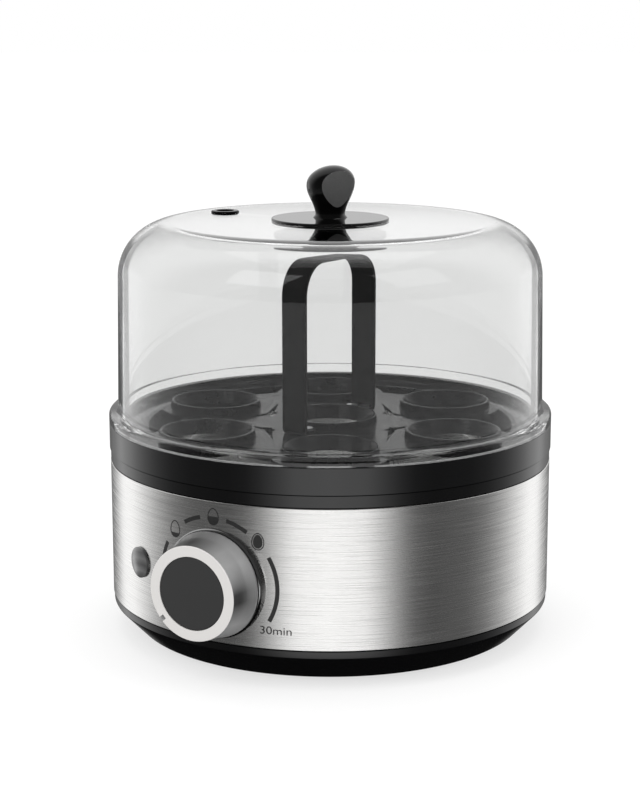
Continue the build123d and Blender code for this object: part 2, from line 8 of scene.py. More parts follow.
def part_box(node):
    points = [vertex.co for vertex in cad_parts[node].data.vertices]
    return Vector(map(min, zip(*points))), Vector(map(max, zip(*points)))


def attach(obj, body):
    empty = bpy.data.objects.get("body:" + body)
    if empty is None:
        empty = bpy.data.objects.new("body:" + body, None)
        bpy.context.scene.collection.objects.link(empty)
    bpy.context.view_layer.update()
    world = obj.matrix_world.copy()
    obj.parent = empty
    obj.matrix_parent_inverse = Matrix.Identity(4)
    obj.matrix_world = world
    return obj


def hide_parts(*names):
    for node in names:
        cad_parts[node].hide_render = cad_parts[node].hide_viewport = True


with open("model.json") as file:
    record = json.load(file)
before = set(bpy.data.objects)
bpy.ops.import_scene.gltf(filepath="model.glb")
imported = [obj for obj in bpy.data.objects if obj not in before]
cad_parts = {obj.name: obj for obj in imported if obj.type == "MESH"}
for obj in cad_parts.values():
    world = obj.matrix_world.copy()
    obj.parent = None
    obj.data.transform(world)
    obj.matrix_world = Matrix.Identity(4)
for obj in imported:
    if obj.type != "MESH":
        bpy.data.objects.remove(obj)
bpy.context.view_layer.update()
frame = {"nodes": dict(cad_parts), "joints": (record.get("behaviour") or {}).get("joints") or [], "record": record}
record = frame["record"]
nodes = frame["nodes"]
mm = 0.001
print("frame loaded:", len(nodes), "parts")

# mesh helpers: pieces are drawn in millimetres, and finishPiece brings them to metres


def addLine(bm, points, closed=False):
    # points are (radius, height) or (radius, height, fillet) in the XZ plane
    line = [bm.verts.new((p[0], 0, p[1])) for p in points]
    for a, b in zip(line, line[1:]):
        bm.edges.new((a, b))
    if closed:
        bm.edges.new((line[-1], line[0]))
    spots = [Vector((p[0], 0, p[1])) for p in points]
    for i, p in enumerate(points):
        if len(p) < 3:
            continue
        before = (spots[i - 1] - spots[i]).normalized()
        after = (spots[(i + 1) % len(spots)] - spots[i]).normalized()
        corner = before.angle(after)
        steps = max(3, min(24, int(p[2] * 3) + 2))  # large fillets get more facets
        bmesh.ops.bevel(bm, geom=[line[i]], offset=p[2] / tan(corner / 2), offset_type="OFFSET",
                        segments=steps, profile=0.5, affect="VERTICES", material=-1, clamp_overlap=False)


def spinUp(bm, steps):
    # spins what is drawn so far once round Z and closes it
    bmesh.ops.spin(bm, geom=bm.verts[:] + bm.edges[:], cent=(0, 0, 0), axis=(0, 0, 1), angle=2 * pi,
                   steps=steps, use_merge=True, use_normal_flip=False, use_duplicate=False)
    bmesh.ops.remove_doubles(bm, verts=bm.verts[:], dist=0.0005)
    bmesh.ops.dissolve_degenerate(bm, edges=bm.edges[:], dist=0.0002)
    bmesh.ops.recalc_face_normals(bm, faces=bm.faces[:])


def turned(points, steps=256, closed=False):
    bm = bmesh.new()
    addLine(bm, points, closed)
    spinUp(bm, steps)
    return bm


def joined(bms):
    # puts several drawings into one
    whole = bmesh.new()
    for bm in bms:
        part = bpy.data.meshes.new("part")
        bm.to_mesh(part)
        bm.free()
        whole.from_mesh(part)
        bpy.data.meshes.remove(part)
    return whole


def moved(bm, matrix):
    bmesh.ops.transform(bm, matrix=matrix, verts=bm.verts[:])
    return bm


def copies(bm, places):
    # repeats a drawing at each place and drops the first one
    first = bm.verts[:] + bm.edges[:] + bm.faces[:]
    for place in places:
        made = bmesh.ops.duplicate(bm, geom=first)["geom"]
        bmesh.ops.translate(bm, vec=place, verts=[g for g in made if isinstance(g, bmesh.types.BMVert)])
    bmesh.ops.delete(bm, geom=[g for g in first if isinstance(g, bmesh.types.BMVert)], context="VERTS")
    return bm


def drill(bm, cutter):
    # takes the cutter's shape out of the drawing with a Boolean that is applied here
    things = []
    for name, drawing in (("stock", bm), ("cutter", cutter)):
        mesh = bpy.data.meshes.new(name)
        drawing.to_mesh(mesh)
        drawing.free()
        thing = bpy.data.objects.new(name, mesh)
        bpy.context.scene.collection.objects.link(thing)
        things.append(thing)
    cut = things[0].modifiers.new("cut", "BOOLEAN")
    cut.operation = "DIFFERENCE"
    cut.solver = "EXACT"
    cut.object = things[1]
    bpy.context.view_layer.update()
    result = bpy.data.meshes.new_from_object(things[0].evaluated_get(bpy.context.evaluated_depsgraph_get()))
    made = bmesh.new()
    made.from_mesh(result)
    for thing in things:
        mesh = thing.data
        bpy.data.objects.remove(thing)
        bpy.data.meshes.remove(mesh)
    bpy.data.meshes.remove(result)
    return made


def rod(radius, low, high, place=(0, 0), steps=48):
    bm = bmesh.new()
    bmesh.ops.create_cone(bm, cap_ends=True, cap_tris=False, segments=steps, radius1=radius, radius2=radius,
                          depth=high - low, matrix=Matrix.Translation((place[0], place[1], (low + high) / 2)))
    return bm


def facing(azimuth, height):
    # a frame whose Z points outward at azimuth degrees to the viewer's left of the front, with X to the right
    turn = radians(azimuth)
    return Matrix(((cos(turn), 0, -sin(turn), 0), (-sin(turn), 0, -cos(turn), 0),
                   (0, 1, 0, height), (0, 0, 0, 1)))


def around(radius, azimuth):
    turn = radians(azimuth)
    return -radius * sin(turn), -radius * cos(turn)


def fourRods(radius, low, high, ring, turn):
    return [rod(radius, low, high, around(ring, turn + 90 * i)) for i in range(4)]


def corners(part):
    # lowest and highest corner of a CAD part's box, in millimetres
    return [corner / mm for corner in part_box(part)]


def finishPiece(name, bm, finish, body, instead=(), crisp=14, modifiers=()):
    # turns a drawing into an object: metres, smooth faces with crisp edges, finish, body, and the
    # parts that it stands for
    moved(bm, Matrix.Scale(mm, 4))
    for face in bm.faces:
        face.smooth = True
    for edge in bm.edges:
        edge.smooth = len(edge.link_faces) == 2 and edge.calc_face_angle(0) < radians(crisp)
    mesh = bpy.data.meshes.new(name)
    bm.to_mesh(mesh)
    bm.free()
    mesh.materials.append(finish.material)
    piece = bpy.data.objects.new(name, mesh)
    bpy.context.scene.collection.objects.link(piece)
    for kind, settings in modifiers:
        modifier = piece.modifiers.new(kind.lower(), kind)
        for key, value in settings.items():
            setattr(modifier, key, value)
    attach(piece, body)
    if instead:
        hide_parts(*instead)
    return piece


# shader helpers


class Wire:
    # a node's output: sums written on it add Math nodes
    def __init__(self, finish, socket):
        self.finish = finish
        self.socket = socket

    def maths(self, operation, *values):
        return self.finish.node("ShaderNodeMath", {"operation": operation}, dict(enumerate(values)))

    def __add__(self, other):
        return self.maths("ADD", self, other)

    def __sub__(self, other):
        return self.maths("SUBTRACT", self, other)

    def __rsub__(self, other):
        return self.maths("SUBTRACT", other, self)

    def __mul__(self, other):
        return self.maths("MULTIPLY", self, other)

    def __truediv__(self, other):
        return self.maths("DIVIDE", self, other)

    def __pow__(self, other):
        return self.maths("POWER", self, other)

    def __gt__(self, other):
        return self.maths("GREATER_THAN", self, other)

    __radd__ = __add__
    __rmul__ = __mul__


class Finish:
    def __init__(self, name, tree=None):
        if tree is None:
            self.material = bpy.data.materials.new(name)
            self.material.use_nodes = True
            tree = self.material.node_tree
        self.tree = tree
        self.tree.nodes.clear()

    def node(self, kind, settings=None, values=None, output=0):
        made = self.tree.nodes.new(kind)
        for key, value in (settings or {}).items():
            if key == "stops":
                ramp = made.color_ramp
                while len(ramp.elements) < len(value):
                    ramp.elements.new(0.5)
                for element, (position, colour) in zip(ramp.elements, value):
                    element.position = position
                    element.color = colour if isinstance(colour, tuple) else (colour, colour, colour, 1)
            else:
                setattr(made, key, value)
        for key, value in (values or {}).items():
            if isinstance(value, Wire):
                self.tree.links.new(value.socket, made.inputs[key])
            else:
                made.inputs[key].default_value = value
        return Wire(self, made.outputs[output])

    def blend(self, factor, a, b):
        return self.node("ShaderNodeMix", {"data_type": "RGBA"}, {0: factor, 6: a, 7: b}, 2)

    def place(self):
        return self.node("ShaderNodeTexCoord", output="Object")

    def axes(self):
        split = self.node("ShaderNodeSeparateXYZ", None, {0: self.place()})
        return [Wire(self, split.socket.node.outputs[i]) for i in range(3)]

    def ease(self, value, low, high, start=0.0, end=1.0):
        # smooth step from start to end while value goes from low to high
        values = {0: value, 1: low, 2: high, 3: start, 4: end}
        return self.node("ShaderNodeMapRange", {"interpolation_type": "SMOOTHSTEP"}, values)

    def ramp(self, factor, stops):
        return self.node("ShaderNodeValToRGB", {"stops": stops}, {0: factor})

    def vector(self, x, y, z):
        return self.node("ShaderNodeCombineXYZ", None, {0: x, 1: y, 2: z})

    def noise(self, scale, detail=3.0, roughness=0.55, where=None):
        values = {"Vector": where or self.place(), "Scale": scale, "Detail": detail, "Roughness": roughness}
        return self.node("ShaderNodeTexNoise", None, values)

    def bump(self, height, distance, strength=1.0):
        values = {"Height": height, "Distance": distance, "Strength": strength}
        return self.node("ShaderNodeBump", None, values)

    def close(self, shader):
        out = self.tree.nodes.new("ShaderNodeOutputMaterial")
        self.tree.links.new(shader.socket, out.inputs["Surface"])
        return self


def rgb(r, g, b):
    return (r, g, b, 1.0)


def grey(tone):
    return (tone, tone, tone, 1.0)


def moulded(name, look):
    # plastic or rubber: slight tone change, worn roughness and a fine surface grain
    finish = Finish(name)
    broad = finish.noise(22.0, 4)
    fine = finish.noise(look["grain"], 3)
    tone = look["colour"]
    lighter = tuple(min(1.0, c * look.get("spread", 1.35)) for c in tone[:3]) + (1.0,)
    darker = tuple(c / look.get("spread", 1.35) for c in tone[:3]) + (1.0,)
    values = {
        "Base Color": finish.blend(broad * 0.7 + fine * 0.3, darker, lighter),
        "Roughness": look["roughness"] + (broad - 0.5) * look.get("wear", 0.06) + (fine - 0.5) * 0.03,
        "Normal": finish.bump(fine, look["depth"], 0.6),
        "IOR": look.get("index", 1.5),
    }
    return finish.close(finish.node("ShaderNodeBsdfPrincipled", None, values))


def metal(name, look):
    # plain metal: faint cloud in tone and roughness
    finish = Finish(name)
    cloud = finish.noise(60.0, 4)
    fine = finish.noise(look["grain"], 2)
    tone = look["colour"]
    darker = tuple(c * 0.86 for c in tone[:3]) + (1.0,)
    values = {
        "Base Color": finish.blend(cloud, darker, tone),
        "Metallic": 1.0,
        "Roughness": look["roughness"] + (cloud - 0.5) * 0.08,
        "Normal": finish.bump(fine, look["depth"], 0.5),
    }
    return finish.close(finish.node("ShaderNodeBsdfPrincipled", None, values))


# finishes of the plain moulded and metal pieces; depth is the grain's, in metres

plastics = {
    "housingBlack": {"colour": rgb(0.0022, 0.0022, 0.0024), "roughness": 0.14, "grain": 1400.0,
                     "depth": 0.000004},
    "coverBlack": {"colour": rgb(0.0018, 0.0018, 0.002), "roughness": 0.17, "grain": 1400.0,
                   "depth": 0.000006},
    "trayBlack": {"colour": rgb(0.003, 0.0031, 0.0033), "roughness": 0.12, "grain": 900.0, "depth": 0.000004},
    "seatBlack": {"colour": rgb(0.003, 0.0031, 0.0033), "roughness": 0.16, "grain": 900.0, "depth": 0.000006,
                  "index": 1.22},
    "handleBlack": {"colour": grey(0.005), "roughness": 0.4, "grain": 1800.0, "depth": 0.00001,
                    "index": 1.14},
    "knobBlack": {"colour": grey(0.0016), "roughness": 0.07, "grain": 300.0, "depth": 0.000003, "wear": 0.02},
    "trimBlack": {"colour": grey(0.0016), "roughness": 0.15, "grain": 500.0, "depth": 0.000004,
                  "index": 1.16},
    "capDark": {"colour": grey(0.036), "roughness": 0.6, "grain": 2600.0, "depth": 0.00001, "spread": 1.1,
                "index": 1.25},
    "printGrey": {"colour": grey(0.02), "roughness": 0.45, "grain": 2600.0, "depth": 0.000002,
                  "spread": 1.15},
    "footRubber": {"colour": grey(0.004), "roughness": 0.75, "grain": 1600.0, "depth": 0.00004},
    "sealGrey": {"colour": rgb(0.5, 0.5, 0.48), "roughness": 0.5, "grain": 900.0, "depth": 0.00002},
    "hubBlack": {"colour": grey(0.006), "roughness": 0.4, "grain": 900.0, "depth": 0.00002},
    "partCream": {"colour": rgb(0.62, 0.58, 0.48), "roughness": 0.4, "grain": 700.0, "depth": 0.00002},
    "partBlack": {"colour": grey(0.02), "roughness": 0.45, "grain": 900.0, "depth": 0.00002},
    "ceramicPale": {"colour": rgb(0.72, 0.7, 0.64), "roughness": 0.35, "grain": 700.0, "depth": 0.00002},
    "wireSleeve": {"colour": rgb(0.55, 0.52, 0.45), "roughness": 0.7, "grain": 2200.0, "depth": 0.00006},
}
metals = {
    "boltZinc": {"colour": rgb(0.5, 0.5, 0.51), "roughness": 0.32, "grain": 900.0, "depth": 0.00001},
    "caseZinc": {"colour": rgb(0.48, 0.48, 0.49), "roughness": 0.4, "grain": 500.0, "depth": 0.00002},
    "shaftSteel": {"colour": grey(0.55), "roughness": 0.22, "grain": 900.0, "depth": 0.00001},
    "elementDull": {"colour": rgb(0.32, 0.31, 0.3), "roughness": 0.5, "grain": 400.0, "depth": 0.00003},
    "chrome": {"colour": grey(0.34), "roughness": 0.1, "grain": 200.0, "depth": 0.000002},
}
finishes = {name: moulded(name, look) for name, look in plastics.items()}
finishes.update({name: metal(name, look) for name, look in metals.items()})
print("finishes:", len(finishes))

# where things are: the dial and the lamp face outward from the axis

dialJoint = next(j for j in frame["joints"] if j["name"] == "dial_turn")
dialAzimuth = atan2(dialJoint["axis"][0], dialJoint["axis"][1]) * 180 / pi
dialFrame = facing(dialAzimuth, dialJoint["pos_m"][2] / mm)
retainerLow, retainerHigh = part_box("lens_retainer")
lampMiddle = (retainerLow + retainerHigh) / 2 / mm
lampFrame = facing(atan2(-lampMiddle.x, -lampMiddle.y) * 180 / pi, lampMiddle.z)
entry = next(m for m in record["mounts"] if m["name"] == "cord_entry")
glandFrame = facing(180, entry["pos_m"][2] / mm)
bandLow, bandHigh = corners("steel_band")
domeHigh = corners("lid_dome")[1]
discLow, discHigh = corners("lid_disc")
knobHigh = corners("lid_knob")[1]
rimLow, rimHigh = corners("tray_rim")
ringLow = corners("top_ring")[0]
coverLow, coverHigh = corners("bottom_cover")
handleLow, handleHigh = corners("tray_handle")
ventLow, ventHigh = corners("vent_grommet")
plateHigh = corners("heating_plate")[1]

# steel band, brushed round the cooker

band = {"wall": 0.6, "edge": 0.25, "rough": 0.23, "dull": rgb(0.6, 0.595, 0.59),
        "bright": rgb(0.9, 0.895, 0.88), "paintedEdgeShade": grey(0.16)}
seam = {"deep": 0.9, "tall": 0.34, "edge": 0.05}  # the groove above and below the band and under the tray


def bandFinish():
    finish = Finish("bandBrushed")
    x, y, z = finish.axes()
    arc = x.maths("ARCTAN2", x, 0 - y) * (bandHigh.x * mm)
    long = finish.noise(1.0, 2, 0.55, finish.vector(arc * 22, z * 2600, 0.0))
    short = finish.noise(1.0, 3, 0.6, finish.vector(arc * 70, z * 5200, 3.0))
    sheet = finish.noise(14.0, 2)
    streak = long * 0.6 + short * 0.4
    # painted shade: the band's colour turns dark grey where its surface turns away from view
    edge = finish.node("ShaderNodeLayerWeight", None, {"Blend": 0.5}, 1) ** 9.0
    steel = finish.blend(finish.ease(streak, 0.3, 0.7), band["dull"], band["bright"])
    values = {
        "Base Color": finish.blend(edge, steel, band["paintedEdgeShade"]),
        "Metallic": 1.0,
        "Roughness": band["rough"] + (streak - 0.5) * 0.7 + (sheet - 0.5) * 0.05,
        "Anisotropic": 0.5,
        "Anisotropic Rotation": 0.25,
        "Normal": finish.bump(streak, 0.00003, 0.4),
    }
    return finish.close(finish.node("ShaderNodeBsdfPrincipled", None, values))


outer, inner = bandHigh.x, bandHigh.x - band["wall"]
points = [(outer, bandLow.z, band["edge"]), (outer, bandHigh.z, band["edge"]),
          (inner, bandHigh.z), (inner, bandLow.z)]
finishPiece("steelBand", turned(points, 320, True), bandFinish(), "base", ["steel_band"])
print("band done")

# bottom cover with its foot pockets, screw wells and vent slots, and the feet

cover = {"floor": 73.35, "edge": 11.4, "top": 14.5, "wall": 2.0, "spigot": 80.1, "spigotDeep": 1.5,
         "postRing": 67.0, "postTurn": 64.0, "post": 4.2, "postTop": 8.0, "well": 3.3, "wellDeep": 2.6}
vents = {"count": 7, "pitch": 8.0, "wide": 2.4, "long": 17.6, "deep": 8.0, "fillet": 1.19}
feet = {"ring": 63.0, "turn": 14.0, "radius": 6.0, "reach": 1.6, "pocket": 0.8, "room": 0.05, "taper": 1.0}
low, wide = coverLow.z, coverHigh.x
seamLow, seamInner = cover["top"] - seam["tall"], wide - seam["deep"]
points = [
    (0, low), (cover["floor"], low, 2.5), (wide, cover["edge"], 1.2), (wide, seamLow, seam["edge"]),
    (seamInner, seamLow), (seamInner, cover["top"]), (cover["spigot"], cover["top"]),
    (cover["spigot"], coverHigh.z), (cover["spigot"] - cover["wall"], coverHigh.z),
    (cover["spigot"] - cover["wall"], cover["top"] - cover["spigotDeep"]),
    (cover["floor"] - cover["wall"] / 2, low + cover["wall"]), (0, low + cover["wall"]),
]
wellTop = low + cover["wellDeep"]
wells = fourRods(cover["well"], low - 1, wellTop, cover["postRing"], cover["postTurn"])
pockets = fourRods(feet["radius"] + feet["room"], low - 1, low + feet["pocket"], feet["ring"], feet["turn"])
slots = []
for i in range(vents["count"]):
    bar = bmesh.new()
    at = Matrix.Translation((vents["pitch"] * (i - (vents["count"] - 1) / 2), 0, low))
    size = Matrix.Diagonal((vents["wide"], vents["long"], vents["deep"], 1))
    bmesh.ops.create_cube(bar, size=1, matrix=at @ size)
    upright = [e for e in bar.edges if abs(e.verts[0].co.z - e.verts[1].co.z) > 1]
    bmesh.ops.bevel(bar, geom=upright, offset=vents["fillet"], segments=8, profile=0.5, affect="EDGES",
                    material=-1)
    slots.append(bar)
body = drill(turned(points, 256), joined(wells + pockets + slots))
posts = fourRods(cover["post"], wellTop, cover["postTop"], cover["postRing"], cover["postTurn"])
finishPiece("bottomCover", joined([body] + posts), finishes["coverBlack"], "base",
            ["bottom_cover"])

footTop = feet["reach"] + feet["pocket"]
points = [(0, 0), (feet["radius"] - feet["taper"], 0, 0.6), (feet["radius"], feet["reach"]),
          (feet["radius"], footTop), (0, footTop)]
places = [(*around(feet["ring"], feet["turn"] + 90 * i), 0) for i in range(4)]
finishPiece("rubberFeet", copies(turned(points, 64), places), finishes["footRubber"], "base",
            ["rubber_feet"])
print("cover and feet done")

# top ring: flange above the band, rim that centres the tray, ledge under the dish

ring = {"seat": 69.9, "flange": 83.0, "rim": 80.6, "rimTop": 72.9, "deck": 68.0, "ledge": 66.2, "wall": 2.0,
        "lip": 62.0, "mouth": 57.0, "web": 64.0, "skirtInner": 78.5, "skirtOuter": 80.1, "skirtDeep": 2.5,
        "postRise": 0.5}
seamHigh, seamInner = bandHigh.z + seam["tall"], ring["flange"] - seam["deep"]
rimInner, ledgeLow = ring["rim"] - ring["wall"], ring["ledge"] - ring["wall"]
skirtLow = bandHigh.z - ring["skirtDeep"]
points = [
    (seamInner, bandHigh.z), (seamInner, seamHigh), (ring["flange"], seamHigh, seam["edge"]),
    (ring["flange"], ring["seat"], seam["edge"]), (ring["rim"], ring["seat"]),
    (ring["rim"], ring["rimTop"], 0.6), (rimInner, ring["rimTop"], 0.6), (rimInner, ring["deck"], 0.5),
    (ring["lip"], ring["deck"], 0.3),
    (ring["lip"], ring["ledge"]), (ring["mouth"], ring["ledge"]), (ring["mouth"], ledgeLow),
    (ring["web"], ledgeLow), (ring["web"], bandHigh.z), (ring["skirtInner"], bandHigh.z),
    (ring["skirtInner"], skirtLow), (ring["skirtOuter"], skirtLow), (ring["skirtOuter"], bandHigh.z),
]
postTop = bandHigh.z + ring["postRise"]
posts = fourRods(cover["post"], ringLow.z, postTop, cover["postRing"], cover["postTurn"])
finishPiece("topRing", joined([turned(points, 256, True)] + posts), finishes["housingBlack"], "base",
            ["top_ring"])

# water dish, polished steel with faint rings and dried-water marks

dish = {"floor": 61.0, "radius": 49.5, "slope": 5.0, "rim": 61.5, "wall": 1.0, "side": 0.7}


def dishFinish():
    finish = Finish("dishSteel")
    x, y = finish.axes()[:2]
    radius = (x * x + y * y) ** 0.5
    rings = finish.noise(1.0, 3, 0.6, finish.vector(radius * 2600, 0.0, 0.0))
    marks = finish.noise(38.0, 5, 0.6)
    values = {
        "Base Color": finish.blend(marks, rgb(0.6, 0.6, 0.59), rgb(0.78, 0.78, 0.77)),
        "Metallic": 1.0,
        "Roughness": 0.26 + (marks - 0.5) * 0.16 + (rings - 0.5) * 0.1,
        "Normal": finish.bump(rings, 0.00002, 0.4),
    }
    return finish.close(finish.node("ShaderNodeBsdfPrincipled", None, values))


flare = dish["radius"] + dish["slope"]
points = [
    (0, dish["floor"]), (dish["radius"], dish["floor"], 3.0), (flare, plateHigh.z, 0.8),
    (dish["rim"], plateHigh.z, 0.2), (dish["rim"], plateHigh.z - dish["wall"]),
    (flare + dish["side"], plateHigh.z - dish["wall"]),
    (dish["radius"] + dish["side"], dish["floor"] - dish["wall"], 3.6), (0, dish["floor"] - dish["wall"]),
]
finishPiece("waterDish", turned(points, 192), dishFinish(), "base", ["heating_plate"])
print("ring and dish done")

# dial: metal shell with its pointer notch, dark cap, and the bright bezel round it

dial = {"back": 84.7, "backRadius": 19.0, "lip": 0.8, "waist": 17.8, "waistAt": 5.0, "waistCurve": 8.0,
        "radius": 16.9, "face": 97.5, "wall": 1.2, "cap": 13.0, "capRoom": 0.1, "capBack": 95.0,
        "capSunk": 0.25, "notchTurn": 221.0, "notch": (4.0, 1.8, 2.4)}
bezel = {"inner": 16.4, "outer": 19.7, "front": 84.2, "back": 80.2, "chamfer": (0.5, 0.6)}
# painted reflections: brightness of the turned side against the angle round the dial's axis, from its left by way
# of below
paintedSideReflections = [(0.0, 0.6), (0.17, 0.7), (0.31, 1.0), (0.4, 1.0), (0.455, 0.4), (0.485, 0.04), (0.515, 0.04),
             (0.55, 0.4), (0.61, 1.0), (0.66, 1.0), (0.71, 0.5), (0.77, 0.05), (0.84, 0.05), (0.92, 0.35),
             (1.0, 0.6)]


def dialFinish():
    finish = Finish("dialSatin")
    back = dialFrame.inverted()
    local = finish.node("ShaderNodeMapping", {"vector_type": "POINT"}, {
        "Vector": finish.place(), "Location": back.to_translation() * mm, "Rotation": back.to_euler()})
    split = finish.node("ShaderNodeSeparateXYZ", None, {0: local})
    x, y, z = [Wire(finish, split.socket.node.outputs[i]) for i in range(3)]
    radius = (x * x + y * y) ** 0.5
    rings = finish.noise(1.0, 3, 0.6, finish.vector(radius * 5200, z * 5200, 0.0))
    cloud = finish.noise(70.0, 3)
    turn = x.maths("ARCTAN2", y, x) / (2 * pi) + 0.5
    face = z > (dial["face"] - 0.3) * mm
    # painted reflection: the side is lightened towards its base, over the bright and dark reflections painted by
    # the ramp
    paintedLightNearBase = finish.ease(z, (dial["back"] - 0.5) * mm, (dial["face"] - 3) * mm, 0.6, 0.0)
    side = finish.blend(paintedLightNearBase + rings * 0.15, finish.ramp(turn, paintedSideReflections), grey(0.72))
    front = finish.blend(rings, rgb(0.62, 0.606, 0.59), rgb(0.68, 0.665, 0.65))
    values = {
        "Base Color": finish.blend(face, side, front),
        "Metallic": (1.0 - face) * 0.75,
        "Roughness": 0.3 + (rings - 0.5) * 0.12 + (cloud - 0.5) * 0.04,
        "Normal": finish.bump(rings, 0.000012, 0.5),
    }
    return finish.close(finish.node("ShaderNodeBsdfPrincipled", None, values))


hollow, capEdge = dial["radius"] - dial["wall"], dial["cap"] + dial["capRoom"]
points = [
    (dial["backRadius"], dial["back"], 0.2), (dial["backRadius"], dial["back"] + dial["lip"], 0.3),
    (dial["waist"], dial["back"] + dial["waistAt"], dial["waistCurve"]), (dial["radius"], dial["face"], 0.35),
    (capEdge, dial["face"], 0.15), (capEdge, dial["face"] - dial["wall"]),
    (hollow, dial["face"] - dial["wall"]), (hollow, dial["back"]),
]
notch = bmesh.new()
turn = Matrix.Rotation(radians(dial["notchTurn"]), 4, "Z")
at = Matrix.Translation((dial["radius"], 0, dial["face"]))
bmesh.ops.create_cube(notch, size=1, matrix=turn @ at @ Matrix.Diagonal((*dial["notch"], 1)))
shell = drill(turned(points, 192, True), notch)
finishPiece("dialShell", moved(shell, dialFrame), dialFinish(), "dial", ["dial_shell"])

capFront = dial["face"] - dial["capSunk"]
points = [(0, dial["capBack"]), (dial["cap"], dial["capBack"]), (dial["cap"], capFront, 0.3), (0, capFront)]
finishPiece("dialCap", moved(turned(points, 128), dialFrame), finishes["capDark"], "dial",
            ["dial_cap"])

points = [
    (bezel["inner"], bezel["back"]), (bezel["outer"], bezel["back"]),
    (bezel["outer"], bezel["front"] - bezel["chamfer"][1], 0.25),
    (bezel["outer"] - bezel["chamfer"][0], bezel["front"], 0.4), (bezel["inner"], bezel["front"], 0.2),
]
finishPiece("dialBezel", moved(turned(points, 192, True), dialFrame), finishes["chrome"], "base",
            ["dial_bezel"])

# indicator lens with cut facets behind a domed front

lens = {"radius": 5.65, "front": 84.9, "dome": 14.9847, "tangent": 2.933, "shoulder": 1.1, "seat": 81.0,
        "stem": 4.8, "stemBack": 74.5, "bore": 3.4, "boreFront": 82.0}


def lensFinish():
    finish = Finish("lensGrey")
    bands = {"wave_type": "BANDS", "bands_direction": "DIAGONAL", "wave_profile": "TRI"}
    across = finish.node("ShaderNodeTexWave", bands,
                         {"Vector": finish.place(), "Scale": 130.0, "Distortion": 0.0})
    cloud = finish.noise(220.0, 3)
    values = {
        "Base Color": finish.blend(across * 0.6 + cloud * 0.4, rgb(0.03, 0.03, 0.032), grey(0.13)),
        "Roughness": 0.2 + cloud * 0.08,
        "Normal": finish.bump(across, 0.0003, 0.5),
        "Coat Weight": 0.6,
        "Coat Roughness": 0.03,
    }
    return finish.close(finish.node("ShaderNodeBsdfPrincipled", None, values))


points = [
    (0, lens["front"]), (lens["tangent"], lens["front"], lens["dome"]),
    (lens["radius"], lens["front"] - lens["shoulder"], 0.15), (lens["radius"], lens["seat"]),
    (lens["stem"], lens["seat"]), (lens["stem"], lens["stemBack"]), (lens["bore"], lens["stemBack"]),
    (lens["bore"], lens["boreFront"]), (0, lens["boreFront"]),
]
finishPiece("indicatorLens", moved(turned(points, 96), lampFrame), lensFinish(), "base",
            ["indicator_lens"])

# printed scale round the dial, laid on the band

# arcs are (start, end) and eggs (angle, how full, ringed), in degrees clockwise from the top
scale = {"radius": 23.7, "width": 1.45, "lift": 0.05, "thick": 0.04,
         "arcs": [(-118.5, -61), (-31.5, -13.4), (12.8, 33.2), (61, 118.7)],
         "eggs": [(-45, 0.27, False), (0, 0.5, False), (45, 1.0, True)],
         "eggWide": 4.6, "eggTall": 6.2, "eggTaper": 0.13, "eggOut": 1.012, "line": 0.34, "gap": 0.1,
         "ringGap": 1.25, "text": "30min", "textSize": 4.05, "textAt": (17.3, -16.0), "textStretch": 1.13}


def eggDisc(wide, tall):
    bm = bmesh.new()
    bmesh.ops.create_circle(bm, cap_ends=True, radius=1, segments=72)
    for v in bm.verts:
        v.co.x *= wide / 2 * (1 - scale["eggTaper"] * v.co.y)
        v.co.y *= tall / 2
    return bm


def eggOutline(wide, tall, line):
    bm = eggDisc(wide, tall)
    bmesh.ops.inset_region(bm, faces=bm.faces[:], use_boundary=True, use_even_offset=True, thickness=line,
                           depth=0)
    middle = max(bm.faces, key=lambda f: len(f.verts))
    bmesh.ops.delete(bm, geom=[middle], context="FACES")
    return bm


